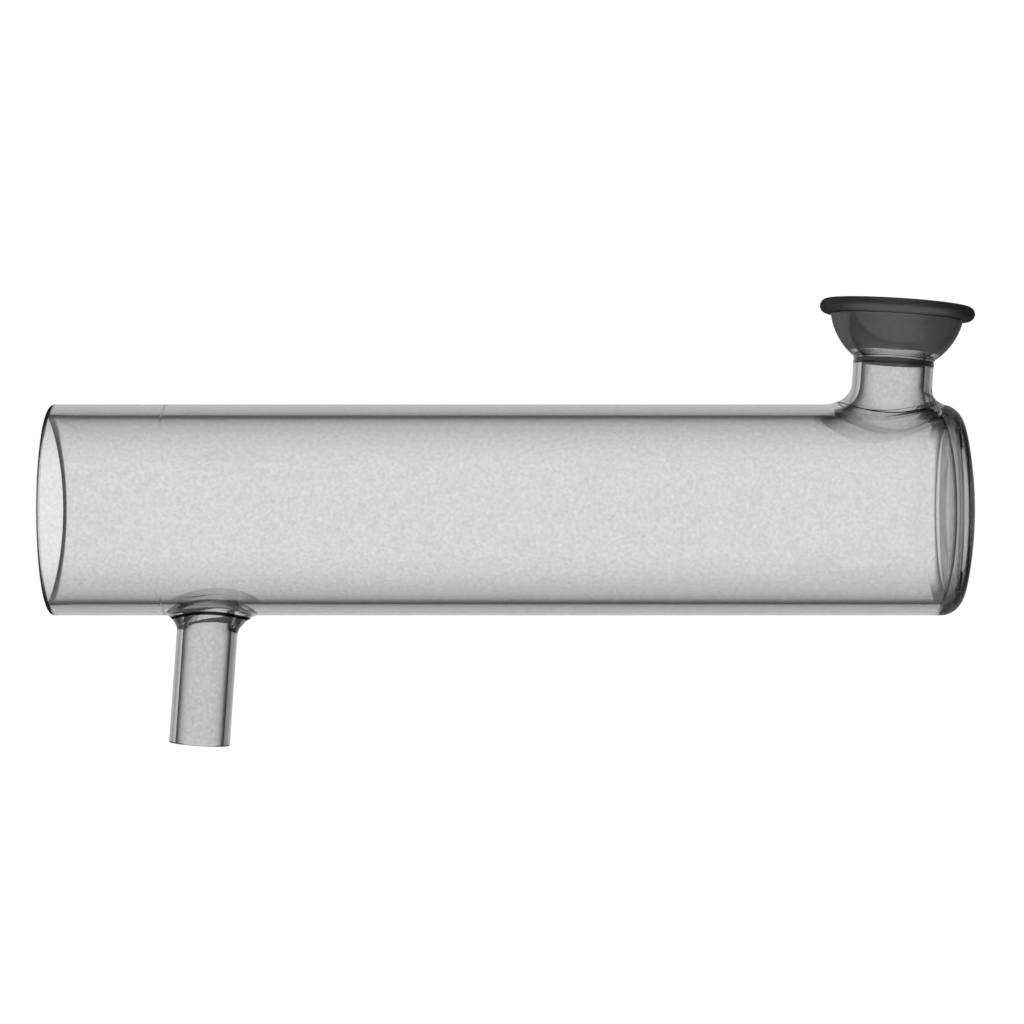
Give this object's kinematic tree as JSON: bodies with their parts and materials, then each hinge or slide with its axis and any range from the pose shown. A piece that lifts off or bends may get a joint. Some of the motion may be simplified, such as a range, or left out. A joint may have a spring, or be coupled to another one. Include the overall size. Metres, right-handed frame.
{
  "type": "soxhlet extractor",
  "caption": "Glass extraction chamber: a cylindrical barrel open at one end and closed at the other, with a ground spherical socket on a short neck and a plain side arm.",
  "frame": {"origin": "centre of the open mouth's rim plane, on the barrel's axis", "axes": "+Z along the barrel from the open mouth to the closed end, -X towards the socket neck, +X towards the side arm"},
  "size_m": [0.1062, 0.0502, 0.2188],
  "materials": {
    "borosilicate_glass": "clear, fire polished",
    "ground_glass": "ground, frosted"
  },
  "bodies": {
    "root": {"mouth_tube": "borosilicate_glass", "seam_weld": "borosilicate_glass", "barrel_tube": "borosilicate_glass", "closed_end": "borosilicate_glass", "closing_button": "borosilicate_glass", "neck_weld": "borosilicate_glass", "neck_tube": "borosilicate_glass", "socket_weld": "borosilicate_glass", "arm_weld": "borosilicate_glass", "arm_tube": "borosilicate_glass", "socket_bowl": "ground_glass", "socket_rim": "ground_glass"}
  },
  "joints": []
}
